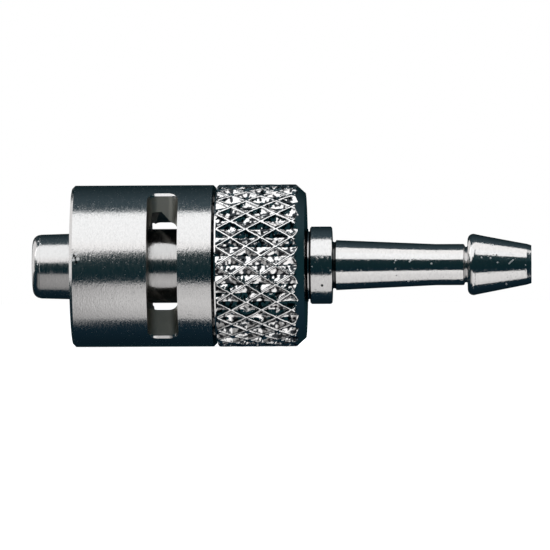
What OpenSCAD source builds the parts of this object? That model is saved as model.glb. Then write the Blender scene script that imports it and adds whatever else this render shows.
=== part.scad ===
// Male luer lock fitting with a free-turning lock nut and a hose barb, turned from stainless steel.
// The axis lies along X. The origin is the centre of the luer cone's end face, +X points to the barb.

/* [Luer cone] */
// Diameter of the cone carried forward to its end face
tip_d = 3.93; // [3.90:0.01:3.99]
// Growth of the cone's diameter per unit of length, 6 % on every luer cone
luer_taper = 0.06; // [0.05:0.005:0.07]
// Length of the tapered cone
cone_l = 6.6; // [6.0:0.1:7.4]
// Radius that rounds the cone's end
tip_round = 0.5; // [0.2:0.05:0.7]
// How far the cone stands out of the lock sleeve
nose_out = 2.48; // [2.1:0.02:3.2]

/* [Luer body] */
// Diameter of the body behind the cone
body_d = 4.58; // [4.5:0.02:5.0]
// How far the thrust flange, which the knurled cap pulls on, stands out of the body
flange_rim = 0.71; // [0.4:0.01:0.9]
// Thickness of the thrust flange
flange_t = 1.0; // [0.6:0.1:1.4]
// How far the journal, which the knurled cap turns on, is set in from the body
journal_step = 0.19; // [0.1:0.01:0.3]
// Bore from the cone's end to the hose nipple
tip_bore_d = 2.2; // [1.8:0.1:2.4]

/* [Hose nipple] */
// How far the stop collar stands out of the journal
collar_rim = 0.3; // [0.2:0.01:0.5]
// Thickness of the stop collar
collar_t = 1.35; // [1.0:0.05:1.8]
// Length of the land behind the collar, with the undercut in it
undercut_land = 0.27; // [0.27:0.01:0.4]
// Radius of the round undercut behind the collar
undercut_round = 0.115; // [0.08:0.005:0.13]
// Diameter of the neck at its front
neck_front_d = 3.1; // [3.05:0.01:3.15]
// Diameter of the neck's straight rear
neck_rear_d = 2.55; // [2.45:0.01:2.65]
// Length of the neck's tapered front
neck_taper_l = 6.15; // [5.5:0.05:6.8]
// Length of the whole neck
neck_l = 7.92; // [7.2:0.02:9.0]
// Radius that rounds the neck's rear corner
neck_round = 0.1; // [0.06:0.01:0.16]
// Depth of the groove in front of the barb, down to its round floor
groove_h = 0.1; // [0.05:0.01:0.12]
// Width of the groove in front of the barb
groove_w = 0.19; // [0.18:0.01:0.3]
// Radius of the groove's round floor
groove_round = 0.08; // [0.05:0.005:0.085]
// Largest diameter of the barb
barb_d = 3.8; // [3.5:0.05:4.2]
// Diameter of the barb at its end, before the end chamfer
barb_end_d = 2.53; // [2.4:0.01:2.7]
// Length of the barb
barb_l = 3.94; // [3.5:0.02:5.0]
// Radius of the barb's rounded shoulder
barb_round = 0.36; // [0.2:0.02:0.5]
// Length of the chamfer on the barb's end
barb_chamfer_l = 0.28; // [0.1:0.02:0.4]
// Depth of the chamfer on the barb's end
barb_chamfer_h = 0.09; // [0.05:0.01:0.12]
// Bore through the hose nipple
nipple_bore_d = 1.5; // [1.2:0.1:1.7]
// Wall of the journal round the brazed spigot
journal_wall = 0.6; // [0.5:0.01:0.7]
// Length of the spigot that is brazed into the luer body
spigot_l = 2.6; // [2.0:0.1:3.2]

/* [Lock sleeve] */
// Wall of the lock sleeve outside its bore
sleeve_wall = 1.45; // [1.35:0.01:1.7]
// Length of the lock sleeve
sleeve_l = 8.9; // [8.6:0.05:9.6]
// Chamfer on the sleeve's front edge
sleeve_front_chamfer = 0.18; // [0.05:0.01:0.3]
// Chamfer on the sleeve's rear edge
sleeve_rear_chamfer = 0.17; // [0.05:0.01:0.25]
// Wall of the sleeve round the seat that takes the knurled cap
seat_wall = 0.4; // [0.35:0.01:0.5]
// Depth of the seat that takes the knurled cap
seat_l = 1.54; // [1.2:0.02:1.8]

/* [Windows] */
// Width of each window along the axis
window_w = 1.9; // [1.5:0.05:1.95]
// Front edge of the windows behind the sleeve's front face
window_start = 4.74; // [4.5:0.02:4.8]
// Depth of each window from the sleeve's outside
window_depth = 2.7; // [2.3:0.02:2.7]
// Radius in the corners of each window's floor
window_round = 0.62; // [0.1:0.02:0.7]
// How far in from both ends of each window the edge is broken
window_break = 0.14; // [0.08:0.01:0.2]
// Slope of the broken edge
window_break_angle = 20; // [15:1:30]

/* [Lock thread] */
// Bore of the lock sleeve, at the thread's crest
crest_d = 7.1; // [6.9:0.05:7.2]
// Depth of the thread
thread_h = 0.5; // [0.4:0.02:0.55]
// Advance of the thread in one turn
thread_lead = 5; // [4.5:0.1:5.5]
// Number of starts
thread_starts = 2; // [1:1:2]
// Width of the thread groove at its root
root_w = 0.6; // [0.5:0.02:0.9]
// Angle of the flank that draws the mating hub in
bearing_flank = 25; // [15:1:30]
// Angle of the free flank
free_flank = 45; // [30:1:50]
// Countersink at the sleeve's mouth
mouth_chamfer = 0.45; // [0.2:0.05:0.6]

/* [Knurled cap] */
// Length of the knurled grip
grip_l = 5.45; // [5.0:0.05:7.0]
// How far the knurl's ridges stand out beyond the sleeve
ridge_rise = 0.035; // [0:0.005:0.1]
// Chamfer on the grip's front edge
grip_front_chamfer = 0.1; // [0.05:0.01:0.2]
// Length of the chamfer on the grip's rear edge
grip_chamfer_l = 0.62; // [0.4:0.02:0.8]
// Depth of the chamfer on the grip's rear edge
grip_chamfer_h = 0.56; // [0.3:0.02:0.7]
// Thickness of the cap's rear wall
rear_wall = 2.0; // [1.6:0.1:2.4]
// Wall of the boss round the bearing bore
boss_wall = 0.34; // [0.3:0.01:0.5]
// How far the boss stands out of the rear wall
boss_l = 0.14; // [0.08:0.01:0.2]
// Depth of the bevel that the boss tapers off with
boss_bevel = 0.26; // [0.1:0.01:0.28]

/* [Knurl] */
// Number of pits round the grip
knurl_count = 27; // [24:1:30]
// Spacing of the pits along the axis
knurl_pitch = 1.86; // [1.6:0.01:2.0]
// Depth of the pits
knurl_depth = 0.3; // [0.15:0.01:0.35]
// Width of the ridges between the pits
ridge_w = 0.1; // [0.04:0.01:0.16]
// Distance from the grip's front face to the first row of crossings
knurl_start = 0.01; // [-0.1:0.01:0.1]

/* [Fits] */
// Radial clearance between the journal and the knurled cap
running_fit = 0.05; // [0.02:0.01:0.1]
// Axial play between the flange and the cap's rear wall
front_play = 0.05; // [0.02:0.01:0.1]
// Axial play between the boss and the stop collar
rear_play = 0.13; // [0.05:0.01:0.2]
// Radial clearance round the flange inside the cap
flange_room = 0.4; // [0.3:0.05:0.45]
// Radial clearance of the brazed and pressed joints
fixed_fit = 0.01; // [0.01:0.005:0.02]
// Width of the parting line between sleeve and cap
parting_gap = 0.09; // [0.05:0.01:0.15]
// Edge break on corners that are not chamfered
edge_break = 0.08; // [0.04:0.01:0.12]

/* [Hidden] */
$fn = 96;
STEEL = [0.72, 0.73, 0.74];
OVERCUT = 0.5;

// Diameters that follow from the bore, the body and the walls
sleeve_d = crest_d + 2 * sleeve_wall;
root_d = crest_d + 2 * thread_h;
seat_d = sleeve_d - 2 * seat_wall;
grip_d = sleeve_d + 2 * ridge_rise;
flange_d = body_d + 2 * flange_rim;
journal_d = body_d - 2 * journal_step;
bearing_d = journal_d + 2 * running_fit;
boss_d = bearing_d + 2 * boss_wall;
collar_d = journal_d + 2 * collar_rim;
spigot_d = journal_d - 2 * journal_wall;
groove_d = neck_rear_d - 2 * groove_h;
window_floor = sleeve_d / 2 - window_depth;

// Stations along the axis, counted from the cone's end face
sleeve_front = nose_out;
sleeve_rear = sleeve_front + sleeve_l;
seat_floor = sleeve_rear - seat_l;
grip_front = sleeve_rear + parting_gap;
grip_rear = grip_front + grip_l;
wall_front = grip_rear - rear_wall;
boss_rear = grip_rear + boss_l;
collar_front = boss_rear + rear_play;
flange_rear = wall_front - front_play;
flange_front = flange_rear - flange_t;
collar_rear = collar_front + collar_t;
neck_front = collar_rear + undercut_land;
neck_rear = neck_front + neck_l;
barb_front = neck_rear + groove_w;
barb_rear = barb_front + barb_l;
spigot_front = collar_front - spigot_l;

// The luer body's socket is a little deeper than the spigot, so that the collar butts on the journal
socket_floor = spigot_front - 2 * edge_break;

// Turns an outline of [radius, station] points about the X axis
module turned() {
    rotate([0, 90, 0]) rotate_extrude() children();
}

// A straight hole on the axis, from one station to another
module axial_hole(d, from, to) {
    translate([from, 0, 0]) rotate([0, 90, 0]) cylinder(d = d, h = to - from);
}

// The wetted front piece: luer cone, body, thrust flange and journal in one turning
module luer_body() {
    tip_r = tip_d / 2;
    cone_r = tip_r + luer_taper * cone_l / 2;
    body_r = body_d / 2;
    flange_r = flange_d / 2;
    journal_r = journal_d / 2;
    shoulder = body_r - cone_r;
    color(STEEL) difference() {
        turned() union() {
            polygon([
                [0, 0],
                [tip_r - tip_round, 0],
                [tip_r + luer_taper * tip_round / 2, tip_round],
                [cone_r, cone_l],
                [body_r, cone_l + shoulder],
                [body_r, flange_front],
                [flange_r - edge_break, flange_front],
                [flange_r, flange_front + edge_break],
                [flange_r, flange_rear - edge_break],
                [flange_r - edge_break, flange_rear],
                [journal_r, flange_rear],
                [journal_r, collar_front],
                [0, collar_front]
            ]);
            translate([tip_r - tip_round, tip_round]) circle(r = tip_round);
        }
        axial_hole(tip_bore_d, -OVERCUT, collar_front - edge_break);
        axial_hole(spigot_d + 2 * fixed_fit, socket_floor, collar_front + OVERCUT);
    }
}

// The nipple's half outline: spigot, stop collar, tapered neck and barb
module nipple_outline() {
    spigot_r = spigot_d / 2;
    collar_r = collar_d / 2;
    neck_r = neck_rear_d / 2;
    barb_r = barb_d / 2;
    barb_end_r = barb_end_d / 2;
    barb_top = barb_front + barb_round;
    polygon([
        [0, spigot_front],
        [spigot_r - edge_break, spigot_front],
        [spigot_r, spigot_front + edge_break],
        [spigot_r, collar_front],
        [collar_r - edge_break, collar_front],
        [collar_r, collar_front + edge_break],
        [collar_r, collar_rear - edge_break],
        [collar_r - edge_break, collar_rear],
        [neck_front_d / 2, collar_rear],
        [neck_front_d / 2, neck_front],
        [neck_r, neck_front + neck_taper_l],
        [neck_r, neck_rear - neck_round],
        [neck_r - neck_round, neck_rear],
        [groove_d / 2, neck_rear],
        [groove_d / 2, barb_front],
        [barb_r - barb_round, barb_front],
        [barb_r, barb_top],
        [barb_end_r, barb_rear - barb_chamfer_l],
        [barb_end_r - barb_chamfer_h, barb_rear],
        [0, barb_rear]
    ]);
    translate([neck_r - neck_round, neck_rear - neck_round]) circle(r = neck_round);
    translate([barb_r - barb_round, barb_top]) circle(r = barb_round);
}

// The rear piece in one turning, with a round undercut behind the collar and before the barb
module hose_nipple() {
    color(STEEL) difference() {
        turned() difference() {
            nipple_outline();
            translate([neck_front_d / 2, collar_rear + undercut_land / 2]) circle(r = undercut_round);
            translate([groove_d / 2, neck_rear + groove_w / 2]) circle(r = groove_round);
        }
        axial_hole(nipple_bore_d, spigot_front - OVERCUT, barb_rear + OVERCUT);
    }
}

// One point of a helical groove, at a radius and an offset along the axis, after a part of a turn
function groove_point(r, offset, x, angle) = [x + offset, -r * cos(angle), r * sin(angle)];

// The cutter that leaves one start of the lock thread: a four-sided section swept back from its
// end in the front window to clear of the sleeve's mouth
module thread_groove() {
    steps_per_turn = 40;
    root_r = root_d / 2;
    inner_r = crest_d / 2 - edge_break;
    depth = root_r - inner_r;
    section = [
        [root_r, -root_w / 2],
        [root_r, root_w / 2],
        [inner_r, root_w / 2 + depth * tan(free_flank)],
        [inner_r, -root_w / 2 - depth * tan(bearing_flank)]
    ];
    sides = len(section);
    end_x = sleeve_front + window_start + window_w * 0.7;
    turns = (end_x - sleeve_front + thread_lead / 4) / thread_lead;
    steps = ceil(turns * steps_per_turn);
    points = [
        for (i = [0 : steps], p = section)
            groove_point(
                p[0], p[1],
                end_x - i * thread_lead / steps_per_turn,
                i * 360 / steps_per_turn
            )
    ];
    walls = [
        for (i = [0 : steps - 1], k = [0 : sides - 1], half = [0, 1])
            let (
                a = i * sides + k,
                b = i * sides + (k + 1) % sides,
                c = b + sides,
                d = a + sides
            )
            half == 0 ? [a, c, b] : [a, d, c]
    ];
    first_end = [for (k = [0 : sides - 1]) k];
    last_end = [for (k = [sides - 1 : -1 : 0]) steps * sides + k];
    polyhedron(points = points, faces = concat(walls, [first_end, last_end]));
}

// A slot along Z, open towards -Y, rounded in both corners of its floor
module slot_cutter() {
    slot_front = sleeve_front + window_start;
    reach = sleeve_d;
    translate([slot_front + window_round, -reach, -reach])
        cube([window_w - 2 * window_round, reach, 2 * reach]);
    translate([slot_front, -window_round - reach, -reach])
        cube([window_w, reach, 2 * reach]);
    for (x = [slot_front + window_round, slot_front + window_w - window_round])
        translate([x, -window_round, -reach])
            cylinder(r = window_round, h = 2 * reach);
}

// The cutter for one window: a slot across the sleeve, tilted at both ends to break the edge
module window_slot() {
    sleeve_r = sleeve_d / 2;
    break_z = sqrt(sleeve_r * sleeve_r - window_floor * window_floor) - window_break;
    translate([0, -window_floor, 0]) slot_cutter();
    for (end = [-1, 1])
        translate([0, -window_floor, end * break_z])
            rotate([-end * window_break_angle, 0, 0]) slot_cutter();
}

// The smooth front half of the nut, with the lock thread inside and a window on either side
module lock_sleeve() {
    sleeve_r = sleeve_d / 2;
    crest_r = crest_d / 2;
    seat_r = seat_d / 2;
    color(STEEL) difference() {
        turned() polygon([
            [crest_r + mouth_chamfer, sleeve_front],
            [sleeve_r - sleeve_front_chamfer, sleeve_front],
            [sleeve_r, sleeve_front + sleeve_front_chamfer],
            [sleeve_r, sleeve_rear - sleeve_rear_chamfer],
            [sleeve_r - sleeve_rear_chamfer, sleeve_rear],
            [seat_r, sleeve_rear],
            [seat_r, seat_floor],
            [crest_r, seat_floor],
            [crest_r, sleeve_front + mouth_chamfer]
        ]);
        for (start = [0 : thread_starts - 1])
            rotate([start * 360 / thread_starts, 0, 0]) thread_groove();
        for (side = [0, 180])
            rotate([side, 0, 0]) window_slot();
    }
}

// A point of the knurl at a radius, a station and a number of pits round from the front
function knurl_point(r, x, turn) =
    let (angle = turn * 360 / knurl_count)
    [x, -r * cos(angle), r * sin(angle)];

// A long bar whose whole surface is a lattice of ridges round four-sided pits. Crossings and pits
// change places from one column to the next.
module knurled_bar(first_x, columns) {
    half = knurl_pitch / 2;
    r = grip_d / 2;
    n = knurl_count;
    ridge_angle = atan((PI * grip_d / n) / knurl_pitch);
    inset = ridge_w / (knurl_pitch * sin(ridge_angle));
    open = 1 - inset;
    crossings = [
        for (i = [0 : columns], j = [0 : n - 1])
            knurl_point(r, first_x + i * half, j + ((i + 1) % 2) / 2)
    ];
    pits = [
        for (i = [1 : columns - 1], j = [0 : n - 1])
            let (x = first_x + i * half, turn = j + (i % 2) / 2)
            each [
                knurl_point(r, x - half * open, turn),
                knurl_point(r, x, turn + open / 2),
                knurl_point(r, x + half * open, turn),
                knurl_point(r, x, turn - open / 2),
                knurl_point(r - knurl_depth, x, turn)
            ]
    ];
    // Each pit has four ridge strips of two triangles round it, and four facets down to its floor
    pit_faces = [
        for (i = [1 : columns - 1], j = [0 : n - 1])
            let (
                even = i % 2 == 0,
                outer = [
                    (i - 1) * n + j,
                    i * n + (even ? j : (j + 1) % n),
                    (i + 1) * n + j,
                    i * n + (even ? (j + n - 1) % n : j)
                ],
                inner = (columns + 1) * n + ((i - 1) * n + j) * 5
            )
            for (k = [0 : 3])
                let (next = (k + 1) % 4)
                each [
                    [outer[k], outer[next], inner + k],
                    [inner + k, outer[next], inner + next],
                    [inner + k, inner + next, inner + 4]
                ]
    ];
    // Half pits at both ends are closed by one triangle each
    rim_faces = [
        for (j = [0 : n - 1])
            let (
                last = columns * n,
                odd = columns % 2 == 1
            )
            each [
                [j, (j + 1) % n, n + (j + 1) % n],
                odd
                    ? [last + j, last - n + j, last + (j + 1) % n]
                    : [last + j, last - n + (j + 1) % n, last + (j + 1) % n]
            ]
    ];
    front_face = [for (j = [n - 1 : -1 : 0]) j];
    rear_face = [for (j = [0 : n - 1]) columns * n + j];
    polyhedron(
        points = concat(crossings, pits),
        faces = concat(pit_faces, rim_faces, [front_face, rear_face])
    );
}

// The knurled rear half of the nut: its spigot is pressed into the sleeve, and its rear wall
// turns on the journal between the flange and the stop collar
module knurled_cap() {
    grip_r = grip_d / 2;
    tail_r = grip_r - grip_chamfer_h;
    core_r = seat_d / 2 - fixed_fit;
    boss_r = boss_d / 2;
    half = knurl_pitch / 2;
    first_x = grip_front + knurl_start - half;
    columns = ceil((grip_rear - first_x) / half) + 1;
    cavity_d = flange_d + 2 * flange_room;
    color(STEEL) difference() {
        union() {
            intersection() {
                knurled_bar(first_x, columns);
                turned() polygon([
                    [0, grip_front],
                    [grip_r - grip_front_chamfer, grip_front],
                    [grip_r + OVERCUT, grip_front + grip_front_chamfer + OVERCUT],
                    [grip_r + OVERCUT, grip_rear - grip_chamfer_l - OVERCUT * grip_chamfer_l / grip_chamfer_h],
                    [tail_r, grip_rear],
                    [0, grip_rear]
                ]);
            }
            turned() polygon([
                [0, seat_floor],
                [core_r - edge_break, seat_floor],
                [core_r, seat_floor + edge_break],
                [core_r, grip_front + edge_break],
                [boss_r, grip_front + edge_break],
                [boss_r, grip_rear],
                [boss_r - boss_bevel, boss_rear],
                [0, boss_rear]
            ]);
        }
        axial_hole(cavity_d, seat_floor - OVERCUT, wall_front);
        axial_hole(bearing_d, wall_front - OVERCUT, boss_rear + OVERCUT);
    }
}

luer_body();
hose_nipple();
lock_sleeve();
knurled_cap();
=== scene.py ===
# A male luer lock to hose barb fitting, turned from stainless steel, lying on a pale floor.
# Metres, with the axis along X from the luer cone to the barb and the windows facing -Y and +Y.
import math

import bmesh
import bpy
from mathutils import Matrix, Vector, noise


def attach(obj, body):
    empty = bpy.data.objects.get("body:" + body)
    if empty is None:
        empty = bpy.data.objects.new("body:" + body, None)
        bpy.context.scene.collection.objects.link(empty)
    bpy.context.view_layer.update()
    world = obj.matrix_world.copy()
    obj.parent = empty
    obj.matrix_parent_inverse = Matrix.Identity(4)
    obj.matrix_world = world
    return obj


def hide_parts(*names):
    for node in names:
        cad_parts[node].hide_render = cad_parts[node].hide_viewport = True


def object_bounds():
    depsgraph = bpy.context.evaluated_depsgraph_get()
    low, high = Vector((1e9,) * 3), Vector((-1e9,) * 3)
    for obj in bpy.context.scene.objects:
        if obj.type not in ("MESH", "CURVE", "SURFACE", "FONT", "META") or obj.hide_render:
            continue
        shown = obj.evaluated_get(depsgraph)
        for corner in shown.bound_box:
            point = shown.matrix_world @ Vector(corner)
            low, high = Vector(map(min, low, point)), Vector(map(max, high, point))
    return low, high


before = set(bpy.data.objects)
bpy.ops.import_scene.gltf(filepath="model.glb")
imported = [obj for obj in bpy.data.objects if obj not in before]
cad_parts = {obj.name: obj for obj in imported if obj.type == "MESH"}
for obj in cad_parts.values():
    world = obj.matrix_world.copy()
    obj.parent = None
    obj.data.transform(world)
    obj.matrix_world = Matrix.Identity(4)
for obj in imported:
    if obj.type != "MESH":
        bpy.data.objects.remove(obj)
CAD_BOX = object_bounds()
MM = 0.001

# ---------------------------------------------------------------------------------------------
# Luer body: the cone that a female hub seals on, with the body behind it. Stainless steel, turned
# in one piece and left as it comes from the tool, with a fine ring pattern round the axis.
STEEL_COLOUR = (0.66, 0.648, 0.643, 1.0)


def node(tree, kind, **settings):
    made = tree.nodes.new(kind)
    for name, value in settings.items():
        if name in made.inputs:
            made.inputs[name].default_value = value
        else:
            setattr(made, name, value)
    return made


def off_axis(tree):
    """The place on the piece, seen along the axis: straight out from the axis to the surface."""
    place = node(tree, "ShaderNodeTexCoord")
    flat = node(tree, "ShaderNodeVectorMath", operation="MULTIPLY")
    flat.inputs[1].default_value = (0, 1, 1)
    tree.links.new(place.outputs["Object"], flat.inputs[0])
    return flat.outputs[0]


def radius_of(tree):
    """The distance from the axis, in metres."""
    length = node(tree, "ShaderNodeVectorMath", operation="LENGTH")
    tree.links.new(off_axis(tree), length.inputs[0])
    return length.outputs["Value"]


def ring_noise(tree, across, around, detail=2.0, seed=0.0):
    """Noise in millimetres: its grain is `across` long along the axis, or outwards on an end face,
    and `around` long round the axis."""
    place = node(tree, "ShaderNodeTexCoord")
    outward = node(tree, "ShaderNodeCombineXYZ")
    tree.links.new(radius_of(tree), outward.inputs["X"])
    feed = node(tree, "ShaderNodeVectorMath", operation="ADD")
    tree.links.new(place.outputs["Object"], feed.inputs[0])
    tree.links.new(outward.outputs[0], feed.inputs[1])
    stretch = node(tree, "ShaderNodeMapping")
    stretch.inputs["Location"].default_value = (seed, seed, seed)
    stretch.inputs["Scale"].default_value = (1 / (across * MM), 1 / (around * MM), 1 / (around * MM))
    tree.links.new(feed.outputs[0], stretch.inputs["Vector"])
    noise = node(tree, "ShaderNodeTexNoise", Scale=1.0, Detail=detail, Roughness=0.6)
    tree.links.new(stretch.outputs["Vector"], noise.inputs["Vector"])
    return noise.outputs["Fac"]


def mapped(tree, value, low, high, to_low, to_high):
    scale = node(tree, "ShaderNodeMapRange")
    scale.inputs["From Min"].default_value = low
    scale.inputs["From Max"].default_value = high
    scale.inputs["To Min"].default_value = to_low
    scale.inputs["To Max"].default_value = to_high
    tree.links.new(value, scale.inputs["Value"])
    return scale.outputs["Result"]


def spots(tree, marks):
    """1 on the stated marks and 0 between them. Each is (x, y, z, radius) in millimetres."""
    place = node(tree, "ShaderNodeTexCoord")
    flat = node(tree, "ShaderNodeVectorMath", operation="MULTIPLY")
    flat.inputs[1].default_value = (1, 0.3, 1)
    tree.links.new(place.outputs["Object"], flat.inputs[0])
    total = None
    for x, y, z, radius in marks:
        apart = node(tree, "ShaderNodeVectorMath", operation="DISTANCE")
        apart.inputs[1].default_value = (x * MM, 0.3 * y * MM, z * MM)
        tree.links.new(flat.outputs[0], apart.inputs[0])
        spot = mapped(tree, apart.outputs["Value"], 0.6 * radius * MM, radius * MM, 1, 0)
        if total is None:
            total = spot
        else:
            both = node(tree, "ShaderNodeMath", operation="MAXIMUM")
            tree.links.new(total, both.inputs[0])
            tree.links.new(spot, both.inputs[1])
            total = both.outputs[0]
    return total


def blend(tree, steel, socket, factor, value):
    """Brings a socket of the steel over to a value where the factor is 1."""
    before = steel.inputs[socket].links[0].from_socket
    choice = node(tree, "ShaderNodeMix", data_type="RGBA")
    tree.links.new(factor, choice.inputs["Factor"])
    tree.links.new(before, choice.inputs["A"])
    choice.inputs["B"].default_value = tuple(value) + (1.0,)
    tree.links.new(choice.outputs["Result"], steel.inputs[socket])


def between(tree, low, high):
    """1 where the place along the axis, in millimetres, lies between the two values."""
    place = node(tree, "ShaderNodeTexCoord")
    split = node(tree, "ShaderNodeSeparateXYZ")
    tree.links.new(place.outputs["Object"], split.inputs[0])
    middle, half = (low + high) / 2, (high - low) / 2
    away = node(tree, "ShaderNodeMath", operation="SUBTRACT")
    away.inputs[1].default_value = middle * MM
    tree.links.new(split.outputs["X"], away.inputs[0])
    size = node(tree, "ShaderNodeMath", operation="ABSOLUTE")
    tree.links.new(away.outputs[0], size.inputs[0])
    return mapped(tree, size.outputs[0], (half + 0.01) * MM, (half - 0.01) * MM, 0, 1)


def turned_steel(name, colour, smooth, rough, ring_depth, seed, around=0.9, grain_size=0.07,
                 grain_depth=0.001, pit_depth=0.0, bright=(), dark=()):
    """Steel with turning rings: roughness runs from smooth to rough between neighbouring rings.
    Over them lie a fine grain, a few pits, bright nicks and dark specks."""
    material = bpy.data.materials.new(name)
    material.use_nodes = True
    tree = material.node_tree
    tree.nodes.clear()
    out = node(tree, "ShaderNodeOutputMaterial")
    steel = node(tree, "ShaderNodeBsdfPrincipled")
    steel.inputs["Metallic"].default_value = 1.0
    steel.inputs["Specular IOR Level"].default_value = 0.5
    tree.links.new(steel.outputs["BSDF"], out.inputs["Surface"])

    rings = ring_noise(tree, 0.07, around, 3.0, seed)
    grain = ring_noise(tree, grain_size, grain_size * 1.8, 2.0, seed + 3)
    pits = mapped(tree, ring_noise(tree, 0.13, 0.15, 1.0, seed + 7), 0.65, 0.78, 0, 1)
    rough_rings = mapped(tree, rings, 0.35, 0.7, smooth, rough)
    tree.links.new(rough_rings, steel.inputs["Roughness"])

    shade = node(tree, "ShaderNodeMix", data_type="RGBA")
    shade.inputs["A"].default_value = tuple(c * 0.92 for c in colour[:3]) + (1,)
    shade.inputs["B"].default_value = colour
    tree.links.new(mapped(tree, grain, 0.3, 0.6, 0, 1), shade.inputs["Factor"])
    tree.links.new(shade.outputs["Result"], steel.inputs["Base Color"])

    surface = None
    for height, depth in ((rings, ring_depth), (grain, grain_depth), (pits, -pit_depth)):
        if depth == 0:
            continue
        bump = node(tree, "ShaderNodeBump", Strength=1.0, Distance=depth * MM)
        tree.links.new(height, bump.inputs["Height"])
        if surface is not None:
            tree.links.new(surface, bump.inputs["Normal"])
        surface = bump.outputs["Normal"]
    tree.links.new(surface, steel.inputs["Normal"])
    if pit_depth:
        blend(tree, steel, "Roughness", pits, (rough + 0.08,) * 3)
    if bright:
        nicked = spots(tree, bright)
        blend(tree, steel, "Base Color", nicked, (0.97, 0.97, 0.97))
        blend(tree, steel, "Roughness", nicked, (0.6, 0.6, 0.6))
    if dark:
        blend(tree, steel, "Base Color", spots(tree, dark), (0.03, 0.03, 0.03))
    return material


def finish_node(name, material):
    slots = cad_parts[name].material_slots
    for slot in slots:
        slot.material = material


body_steel = turned_steel(
    "turned_body_steel", tuple(0.94 * c for c in STEEL_COLOUR[:3]) + (1.0,), 0.12, 0.28, 0.0012, 1.0, 0.6,
    0.08, 0.0024, bright=[(0.41, -1.15, 1.55, 0.06), (0.54, -1.33, 1.39, 0.07), (0.38, -1.95, 0.13, 0.05)])
# painted shade: behind the windows, inside the sleeve, the body's colour is painted greyer
tree = body_steel.node_tree
steel = tree.nodes["Principled BSDF"]
blend(tree, steel, "Base Color", between(tree, 6.8, 9.6), (0.49, 0.48, 0.475))
# painted shade: the end of the journal, in the gap in front of the stop collar, is painted near black
blend(tree, steel, "Base Color", between(tree, 17.12, 17.3), (0.05, 0.05, 0.05))
finish_node("luer_body", body_steel)

# ---------------------------------------------------------------------------------------------
# Hose nipple: stop collar, tapered neck and barb in one turning, brazed into the luer body. Its
# neck is drawn smooth with fine paper, so that it shines brighter than the nut.
nipple_steel = turned_steel(
    "smooth_nipple_steel", STEEL_COLOUR, 0.08, 0.18, 0.0009, 5.0, 0.35, 0.10, 0.0048, 0.004,
    bright=[(17.35, -2.40, -0.08, 0.06), (18.49, -2.38, -0.33, 0.06), (18.71, -1.45, -0.89, 0.08),
            (22.48, -1.43, 0.27, 0.06), (22.42, -1.44, 0.14, 0.05), (23.35, -1.40, 0.20, 0.07),
            (23.42, -1.40, 0.26, 0.07), (24.70, -1.37, 0.07, 0.08), (22.48, -1.43, -0.23, 0.05),
            (23.27, -0.98, -1.03, 0.08), (23.64, -1.02, -0.97, 0.08), (29.49, -1.47, 0.05, 0.06),
            (29.55, -1.45, 0.10, 0.06), (29.60, -1.45, 0.15, 0.06), (29.67, -1.42, 0.20, 0.06),
            (29.74, -1.40, 0.26, 0.06), (29.32, -0.87, -1.22, 0.08), (27.86, -1.20, 1.29, 0.07),
            (28.47, -1.14, 1.19, 0.08), (27.80, -1.72, 0.43, 0.06), (28.35, -1.63, 0.39, 0.07),
            (28.78, -1.59, 0.11, 0.07), (30.50, -1.28, -0.05, 0.06), (27.35, -1.43, -1.18, 0.08)],
    dark=[(17.96, -2.05, -1.25, 0.10), (22.54, -1.29, -0.66, 0.05), (28.72, -1.50, 0.58, 0.06)])
tree = nipple_steel.node_tree
steel = tree.nodes["Principled BSDF"]
# painted shade: the undercut behind the collar is painted near black
blend(tree, steel, "Base Color", between(tree, 18.55, 18.80), (0.10, 0.10, 0.10))
# the collar's corner is burnished, so it shines like the rim beside it
level_out = node(tree, "ShaderNodeVectorMath", operation="NORMALIZE")
tree.links.new(off_axis(tree), level_out.inputs[0])
turned = node(tree, "ShaderNodeVectorTransform",
              vector_type="NORMAL", convert_from="OBJECT", convert_to="WORLD")
tree.links.new(level_out.outputs[0], turned.inputs[0])
corner = node(tree, "ShaderNodeMix", data_type="VECTOR")
tree.links.new(between(tree, 18.36, 18.545), corner.inputs["Factor"])
tree.links.new(steel.inputs["Normal"].links[0].from_socket, corner.inputs["A"])
tree.links.new(turned.outputs[0], corner.inputs["B"])
tree.links.new(corner.outputs["Result"], steel.inputs["Normal"])
finish_node("hose_nipple", nipple_steel)

# ---------------------------------------------------------------------------------------------
# Lock sleeve: the smooth front half of the nut, with the lock thread inside. Turned to a satin
# finish, with a window milled through on either side.
satin = turned_steel(
    "satin_sleeve_steel", STEEL_COLOUR, 0.12, 0.25, 0.0012, 9.0, 0.45, 0.09, 0.0070, 0.0024,
    bright=[(2.64, -4.95, 0.66, 0.13), (2.76, -4.98, 0.40, 0.12), (2.93, -4.95, 0.72, 0.09),
            (3.04, -4.98, 0.45, 0.13), (2.57, -4.99, 0.28, 0.09)],
    dark=[(2.80, -4.96, 0.66, 0.09), (2.95, -4.99, 0.25, 0.10), (2.89, -4.98, 0.52, 0.07)])
tree = satin.node_tree
steel = tree.nodes["Principled BSDF"]
# the milled faces of the windows lie inside this radius and are duller
MILLED_R = 4.86
inside = mapped(tree, radius_of(tree), (MILLED_R + 0.01) * MM, (MILLED_R - 0.01) * MM, 0, 1)
is_milled = node(tree, "ShaderNodeMath", operation="MULTIPLY")
tree.links.new(inside, is_milled.inputs[0])
tree.links.new(between(tree, 7.0, 9.35), is_milled.inputs[1])
blend(tree, steel, "Base Color", is_milled.outputs[0], (0.36, 0.355, 0.32))
blend(tree, steel, "Roughness", is_milled.outputs[0], (0.42, 0.42, 0.42))
# painted shade: the sleeve's joint with the cap is painted near black
blend(tree, steel, "Base Color", between(tree, 11.2, 11.6), (0.07, 0.07, 0.07))
finish_node("lock_sleeve", satin)

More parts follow.
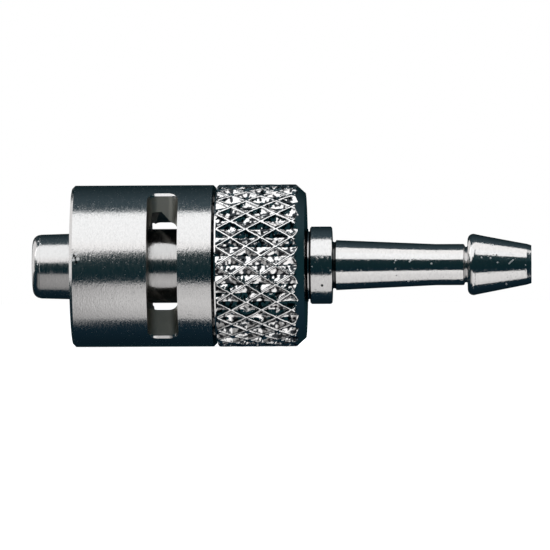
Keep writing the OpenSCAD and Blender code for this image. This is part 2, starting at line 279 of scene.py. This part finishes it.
# ---------------------------------------------------------------------------------------------
# Knurled cap: pressed into the sleeve and turning on the body's journal. The diamond knurl is
# rolled in, which throws up rounded ridges round bowl-shaped pits and leaves both a little rough.
CAP_FRONT, CAP_REAR = 11.47, 16.92
CAP_R = 5.035
FRONT_CHAMFER = 0.1
CHAMFER_X, TAIL_R = 16.30, 4.475
RIM = 0.005
HOLLOW_R = 4.4
KNURL_COUNT = 27
KNURL_PITCH = 1.86
KNURL_START = 11.48
KNURL_DEPTH = 0.27
CREST = 0.05
ROUND_STEPS = 27 * 22
LONG_STEPS = 128


def rough_at(x, y, z, size, seed):
    """Smooth noise between -1 and 1, in millimetres, with a grain of the stated size."""
    return noise.noise(Vector((x / size + seed, y / size, z / size)))


def knurl_point(x, angle):
    """The radius of the rolled surface at a place, and how much painted shade lies there, from 0 to 1."""
    y, z = -CAP_R * math.cos(angle), CAP_R * math.sin(angle)
    wander = 0.035 * rough_at(x, y, z, 0.7, 11.0) + 0.030 * rough_at(x, y, z, 0.16, 5.0)
    along = (x - KNURL_START) / KNURL_PITCH
    turn = angle * KNURL_COUNT / (2 * math.pi)
    off = []
    for line in (along + turn + wander, along - turn - wander * 0.7):
        off.append(abs(line - round(line)) * 2)
    near = min(off)
    side = math.sqrt(near * near + CREST * CREST) - CREST
    pit = 1 - (1 - min(side, 1.0)) ** 1.8
    uneven = 0.026 * rough_at(x, y, z, 0.34, 23.0) + 0.012 * rough_at(x, y, z, 0.17, 31.0)
    crest_wear = 0.012 * max(0.0, rough_at(x, y, z, 0.5, 41.0))
    radius = CAP_R - 0.004 - crest_wear - KNURL_DEPTH * pit - 0.012 + uneven * min(1.0, 0.15 + near * 4)
    # the front edge and the rear are chamfered after the knurl is rolled
    front = CAP_R - FRONT_CHAMFER + (x - CAP_FRONT)
    rear = CAP_R - (x - CHAMFER_X) * (CAP_R - TAIL_R) / (CAP_REAR - CHAMFER_X)
    # painted shade lies along the foot of each ridge and in random patches in the pits
    foot = max(0.0, 1 - abs(near - 0.20) / 0.14) * (0.85 + 0.8 * rough_at(x, y, z, 0.40, 57.0))
    patch = (0.32 + 2.8 * rough_at(x, y, z, 0.22, 67.0)) * min(1.0, near * 3)
    painted_knurl_shade = 0.0 if rear <= radius else min(1.0, max(0.0, (max(foot, patch) - 0.42) * 6))
    return min(radius, front, rear), painted_knurl_shade


def knurled_cap_mesh():
    mesh = bpy.data.meshes.new("rolled_knurl")
    made = bmesh.new()
    painted_shade_layer = made.verts.layers.float.new("painted_knurl_shade")
    # along the knurl, where the rolled surface gives the radius
    outline = [(CAP_FRONT + (CAP_REAR - CAP_FRONT) * i / LONG_STEPS, None) for i in range(LONG_STEPS + 1)]
    # rear face, boss, bearing bore, cavity for the flange, spigot and its shoulder
    outline += [(CAP_REAR, 3.4), (CAP_REAR, 2.49), (17.06, 2.23), (17.06, 2.15), (14.92, 2.15), (14.92, 3.4),
                (9.84, 3.4), (9.84, 4.51), (9.92, 4.59), (CAP_FRONT, 4.59), (CAP_FRONT, 4.80)]
    rings = []
    for x, radius in outline:
        ring = []
        for k in range(ROUND_STEPS):
            angle = 2 * math.pi * k / ROUND_STEPS
            r, painted_knurl_shade = knurl_point(x, angle) if radius is None else (radius, 0.0)
            point = made.verts.new((x * MM, -r * math.cos(angle) * MM, r * math.sin(angle) * MM))
            point[painted_shade_layer] = painted_knurl_shade
            ring.append(point)
        rings.append(ring)
    for i, ring in enumerate(rings):
        following = rings[(i + 1) % len(rings)]
        for k in range(ROUND_STEPS):
            n = (k + 1) % ROUND_STEPS
            face = made.faces.new((ring[k], ring[n], following[n], following[k]))
            face.smooth = True
    bmesh.ops.recalc_face_normals(made, faces=made.faces)
    # the turned corners inside and the two outer rims stay crisp; the rolled ridges are rounded
    for edge in made.edges:
        if edge.calc_face_angle(0) > math.radians(38):
            inside = min(math.hypot(v.co.y, v.co.z) for v in edge.verts) < HOLLOW_R * MM
            at_rim = all(v.co.x > (CAP_REAR - RIM) * MM or v.co.x < (CAP_FRONT + RIM) * MM
                         for v in edge.verts)
            edge.smooth = not (inside or at_rim)
    made.to_mesh(mesh)
    made.free()
    return mesh


cap = bpy.data.objects.new("rolled_knurl_cap", knurled_cap_mesh())
bpy.context.scene.collection.objects.link(cap)
cap_steel = turned_steel(
    "knurled_cap_steel", (0.90, 0.885, 0.878, 1.0), 0.05, 0.12, 0.0006, 13.0, 0.2, 0.12, 0.003, 0.006)
tree = cap_steel.node_tree
steel = tree.nodes["Principled BSDF"]
# painted shade darkens the knurl's colour at the ridge feet and in patches in the pits
painted_shade_attribute = node(tree, "ShaderNodeAttribute", attribute_name="painted_knurl_shade")
blend(tree, steel, "Base Color", painted_shade_attribute.outputs["Fac"], (0.035, 0.04, 0.045))
# painted shade: the boss behind the cap, in the gap before the stop collar, is painted near black
blend(tree, steel, "Base Color", between(tree, 16.93, 17.3), (0.05, 0.05, 0.05))
cap.data.materials.append(cap_steel)
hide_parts("knurled_cap")
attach(cap, "lock_nut")

# ---------------------------------------------------------------------------------------------
# The set: a pale floor under a white background, a soft box above and in front, cards close to the
# fitting that shape what the steel mirrors, and dark cloth round the rest, open on the left.
scene = bpy.context.scene
scene.view_settings.view_transform = "Standard"
WHITE = (1.0, 1.0, 1.0, 1.0)


def seen_directly(tree):
    """1 for a ray from the camera, or one that the steel or a clear thing sends on."""
    path = node(tree, "ShaderNodeLightPath")
    first = node(tree, "ShaderNodeMath", operation="MAXIMUM")
    second = node(tree, "ShaderNodeMath", operation="MAXIMUM")
    tree.links.new(path.outputs["Is Camera Ray"], first.inputs[0])
    tree.links.new(path.outputs["Is Glossy Ray"], first.inputs[1])
    tree.links.new(first.outputs[0], second.inputs[0])
    tree.links.new(path.outputs["Is Transmission Ray"], second.inputs[1])
    return second.outputs[0]


world = bpy.data.worlds.new("white_background")
scene.world = world
world.use_nodes = True
tree = world.node_tree
tree.nodes.clear()
world_out = node(tree, "ShaderNodeOutputWorld")
room = node(tree, "ShaderNodeBackground", Color=(0.8, 0.9, 1.0, 1.0), Strength=0.3)
white = node(tree, "ShaderNodeBackground", Color=WHITE, Strength=1.0)
world_mix = node(tree, "ShaderNodeMixShader")
tree.links.new(seen_directly(tree), world_mix.inputs["Fac"])
tree.links.new(room.outputs[0], world_mix.inputs[1])
tree.links.new(white.outputs[0], world_mix.inputs[2])
tree.links.new(world_mix.outputs[0], world_out.inputs["Surface"])


FLOOR_REACH = 0.9
floor_mesh = bpy.data.meshes.new("floor")
floor_mesh.from_pydata(
    [(x * FLOOR_REACH, y * FLOOR_REACH, CAD_BOX[0].z) for x, y in ((-1, -1), (1, -1), (1, 1), (-1, 1))],
    [], [(0, 1, 2, 3)])
floor = bpy.data.objects.new("floor", floor_mesh)
scene.collection.objects.link(floor)
floor_material = bpy.data.materials.new("pale_floor")
floor_material.use_nodes = True
tree = floor_material.node_tree
tree.nodes.clear()
floor_out = node(tree, "ShaderNodeOutputMaterial")
paint = node(tree, "ShaderNodeBsdfDiffuse", Color=(0.86, 0.86, 0.86, 1.0))
glow = node(tree, "ShaderNodeEmission", Color=WHITE, Strength=0.80)
both = node(tree, "ShaderNodeAddShader")
floor_mix = node(tree, "ShaderNodeMixShader")
tree.links.new(paint.outputs[0], both.inputs[0])
tree.links.new(glow.outputs[0], both.inputs[1])
tree.links.new(seen_directly(tree), floor_mix.inputs["Fac"])
tree.links.new(paint.outputs[0], floor_mix.inputs[1])
tree.links.new(both.outputs[0], floor_mix.inputs[2])
tree.links.new(floor_mix.outputs[0], floor_out.inputs["Surface"])
floor_mesh.materials.append(floor_material)
# the floor is left out of reflections, so that the steel mirrors the cards and the cloth below it
floor.visible_glossy = False

# Everything on the set is aimed at this point, in the middle of the fitting
AIM = Vector((0.015, 0.0, 0.0))


def direction(lift, swing):
    """From the fitting: lift up from the camera's side over the top, swing to the right."""
    lift, swing = math.radians(lift), math.radians(swing)
    return Vector((math.sin(swing), -math.cos(swing) * math.cos(lift), math.cos(swing) * math.sin(lift)))


def soft_box(name, lift_low, lift_high, swing_low, swing_high, distance, radiance):
    """An area lamp that fills the stated angles, as the middle of the fitting sees it."""
    lift = (lift_low + lift_high) / 2
    half = math.radians((lift_high - lift_low) / 2)
    facing = direction(lift, 0)
    left = math.tan(math.radians(swing_low)) * distance
    right = math.tan(math.radians(swing_high)) * distance
    lamp = bpy.data.lights.new(name, "AREA")
    lamp.shape = "RECTANGLE"
    lamp.size = right - left
    lamp.size_y = 2 * distance * math.tan(half)
    # an area lamp of this power has the stated radiance over its face
    lamp.energy = radiance * math.pi * lamp.size * lamp.size_y
    made = bpy.data.objects.new(name, lamp)
    scene.collection.objects.link(made)
    place = AIM + facing * distance + Vector(((left + right) / 2, 0, 0))
    up = direction(lift + 90, 0)
    turn = Matrix((up.cross(facing), up, facing)).transposed()
    made.matrix_world = Matrix.Translation(place) @ turn.to_4x4()
    made.visible_camera = False


soft_box("soft_box", 28.5, 83, -66, 26, 0.40, 1.33)


def near_card(name, stations, colour=WHITE):
    """A card close to the fitting. Each station is a place along the axis, then pairs of an angle
    above the camera's side and the brightness there, from the upper edge to the lower."""
    mesh = bpy.data.meshes.new(name)
    builder = bmesh.new()
    level_of = builder.verts.layers.float.new("level")
    rows = []
    for station, *edges in stations:
        row = []
        for angle, level in edges:
            corner = builder.verts.new(direction(angle, 0) * CARD_DISTANCE)
            corner.co.x = station
            corner[level_of] = level
            row.append(corner)
        rows.append(row)
    for row, following in zip(rows, rows[1:]):
        for k in range(len(row) - 1):
            builder.faces.new((row[k], row[k + 1], following[k + 1], following[k]))
    builder.to_mesh(mesh)
    builder.free()
    made = bpy.data.objects.new(name, mesh)
    scene.collection.objects.link(made)
    material = bpy.data.materials.new(name)
    material.use_nodes = True
    tree = material.node_tree
    tree.nodes.clear()
    out = node(tree, "ShaderNodeOutputMaterial")
    light = node(tree, "ShaderNodeEmission", Color=colour)
    level = node(tree, "ShaderNodeAttribute", attribute_name="level")
    tree.links.new(level.outputs["Fac"], light.inputs["Strength"])
    tree.links.new(light.outputs[0], out.inputs["Surface"])
    mesh.materials.append(material)
    made.visible_camera = False
    made.visible_shadow = False
    made.visible_diffuse = False


CARD_DISTANCE = 0.045
# a white card below, greyer towards the left end, gives the lower band on every diameter
near_card("lower_card", [
    (-0.0300, (-27, 0.12), (-55, 0.12), (-89, 0.12)),
    (-0.0004, (-27, 0.42), (-55, 0.44), (-89, 0.38)),
    (0.0003, (-22.7, 0.56), (-50, 0.71), (-78.4, 0.47)),
    (0.0045, (-22.7, 0.66), (-50, 0.88), (-78.4, 0.54)),
    (0.0100, (-23.4, 0.70), (-50, 0.85), (-78.4, 0.66)),
    (0.0150, (-28.3, 0.84), (-50, 0.86), (-83.5, 0.80)),
    (0.0183, (-28.3, 0.90), (-50, 0.86), (-83.5, 0.82)),
    (0.0192, (-31.6, 1.20), (-50, 1.00), (-92.0, 0.92)),
    (0.0340, (-31.2, 1.24), (-55, 1.04), (-89.0, 0.96)),
    (0.0360, (-33.0, 1.12), (-55, 1.06), (-86.0, 0.94)),
    (0.0520, (-34.0, 1.12), (-55, 1.06), (-86.0, 0.94))])
# small cards carry the soft box's edge to where the cone, the nut's front and the neck show it
near_card("tip_card", [(-0.030, (30, 1.3), (13, 1.3)), (-0.0003, (30, 1.3), (13, 1.3))])
near_card("sleeve_card", [(-0.0002, (31, 1.33), (19.2, 1.33)), (0.0125, (31, 1.33), (20.7, 1.33))])
near_card("upper_card", [
    (0.0188, (88, 1.33), (60, 1.33)), (0.035, (88, 1.33), (60, 1.33)),
    (0.037, (94, 1.33), (60, 1.33)), (0.053, (94, 1.33), (60, 1.33))])
# a dark flag holds the soft box back from the barb
DARK_FLAG = (0.016, 0.044, 0.052, 1.0)
near_card("barb_flag", [(0.037, (39, 1.0), (20, 1.0)), (0.080, (39, 1.0), (20, 1.0))], DARK_FLAG)

# Dark cloth hides the white background from the steel, apart from the left, where it is open
CURTAIN_R = 0.85
curtain_mesh = bpy.data.meshes.new("curtain")
builder = bmesh.new()
bmesh.ops.create_uvsphere(builder, u_segments=72, v_segments=36, radius=CURTAIN_R)
builder.transform(Matrix.Translation(AIM))
open_side = []
for face in builder.faces:
    towards = (face.calc_center_median() - AIM).normalized()
    if towards.x < -0.55 and towards.y > -0.2 and towards.z > -0.2:
        open_side.append(face)
bmesh.ops.delete(builder, geom=open_side, context="FACES")
builder.to_mesh(curtain_mesh)
builder.free()
curtain = bpy.data.objects.new("curtain", curtain_mesh)
scene.collection.objects.link(curtain)
curtain_material = bpy.data.materials.new("dark_cloth")
curtain_material.use_nodes = True
tree = curtain_material.node_tree
tree.nodes.clear()
curtain_out = node(tree, "ShaderNodeOutputMaterial")
cloth = node(tree, "ShaderNodeEmission", Strength=1.0)
cloth_place = node(tree, "ShaderNodeTexCoord")
cloth_split = node(tree, "ShaderNodeSeparateXYZ")
tree.links.new(cloth_place.outputs["Object"], cloth_split.inputs[0])
cloth_height = mapped(tree, cloth_split.outputs["Z"], -CURTAIN_R, CURTAIN_R, 0, 1)
cloth_shade = node(tree, "ShaderNodeValToRGB")
shades = cloth_shade.color_ramp.elements
shades[0].position, shades[0].color = 0.20, (0.008, 0.023, 0.036, 1)
shades[1].position, shades[1].color = 0.98, (0.050, 0.080, 0.096, 1)
middle = shades.new(0.45)
middle.color = (0.007, 0.027, 0.033, 1)
upper = shades.new(0.66)
upper.color = (0.009, 0.029, 0.035, 1)
tree.links.new(cloth_height, cloth_shade.inputs[0])
tree.links.new(cloth_shade.outputs[0], cloth.inputs["Color"])
tree.links.new(mapped(tree, cloth_split.outputs["Y"], 0.1, 0.7, 1.0, 0.60), cloth.inputs["Strength"])
tree.links.new(cloth.outputs[0], curtain_out.inputs["Surface"])
curtain_mesh.materials.append(curtain_material)
curtain.visible_camera = False
curtain.visible_diffuse = False
curtain.visible_shadow = False

# ---------------------------------------------------------------------------------------------
# Camera: square on to the windows from far off, a little to the right of the fitting's middle
# and turned a hair so that the barb's end stands higher.
CAMERA_DISTANCE = 0.600
CAMERA_SWING = 1.9
CAMERA_TURN = 0.28
VIEW_WIDTH = 34.045 * MM
SENSOR = 36.0
look_at = Vector((0.01499, 0.0, -0.000592))
camera_data = bpy.data.cameras.new("camera")
camera_data.sensor_width = SENSOR
camera_data.lens = SENSOR * CAMERA_DISTANCE / VIEW_WIDTH
camera_data.clip_start = 0.05
camera_data.clip_end = 5.0
camera = bpy.data.objects.new("camera", camera_data)
scene.collection.objects.link(camera)
swing = math.radians(CAMERA_SWING)
back = Vector((math.sin(swing), -math.cos(swing), 0.0))
camera.location = look_at + back * CAMERA_DISTANCE
camera.rotation_mode = "QUATERNION"
aim = back.to_track_quat("Z", "Y")
camera.rotation_quaternion = aim @ Matrix.Rotation(math.radians(-CAMERA_TURN), 4, "Z").to_quaternion()
scene.camera = camera
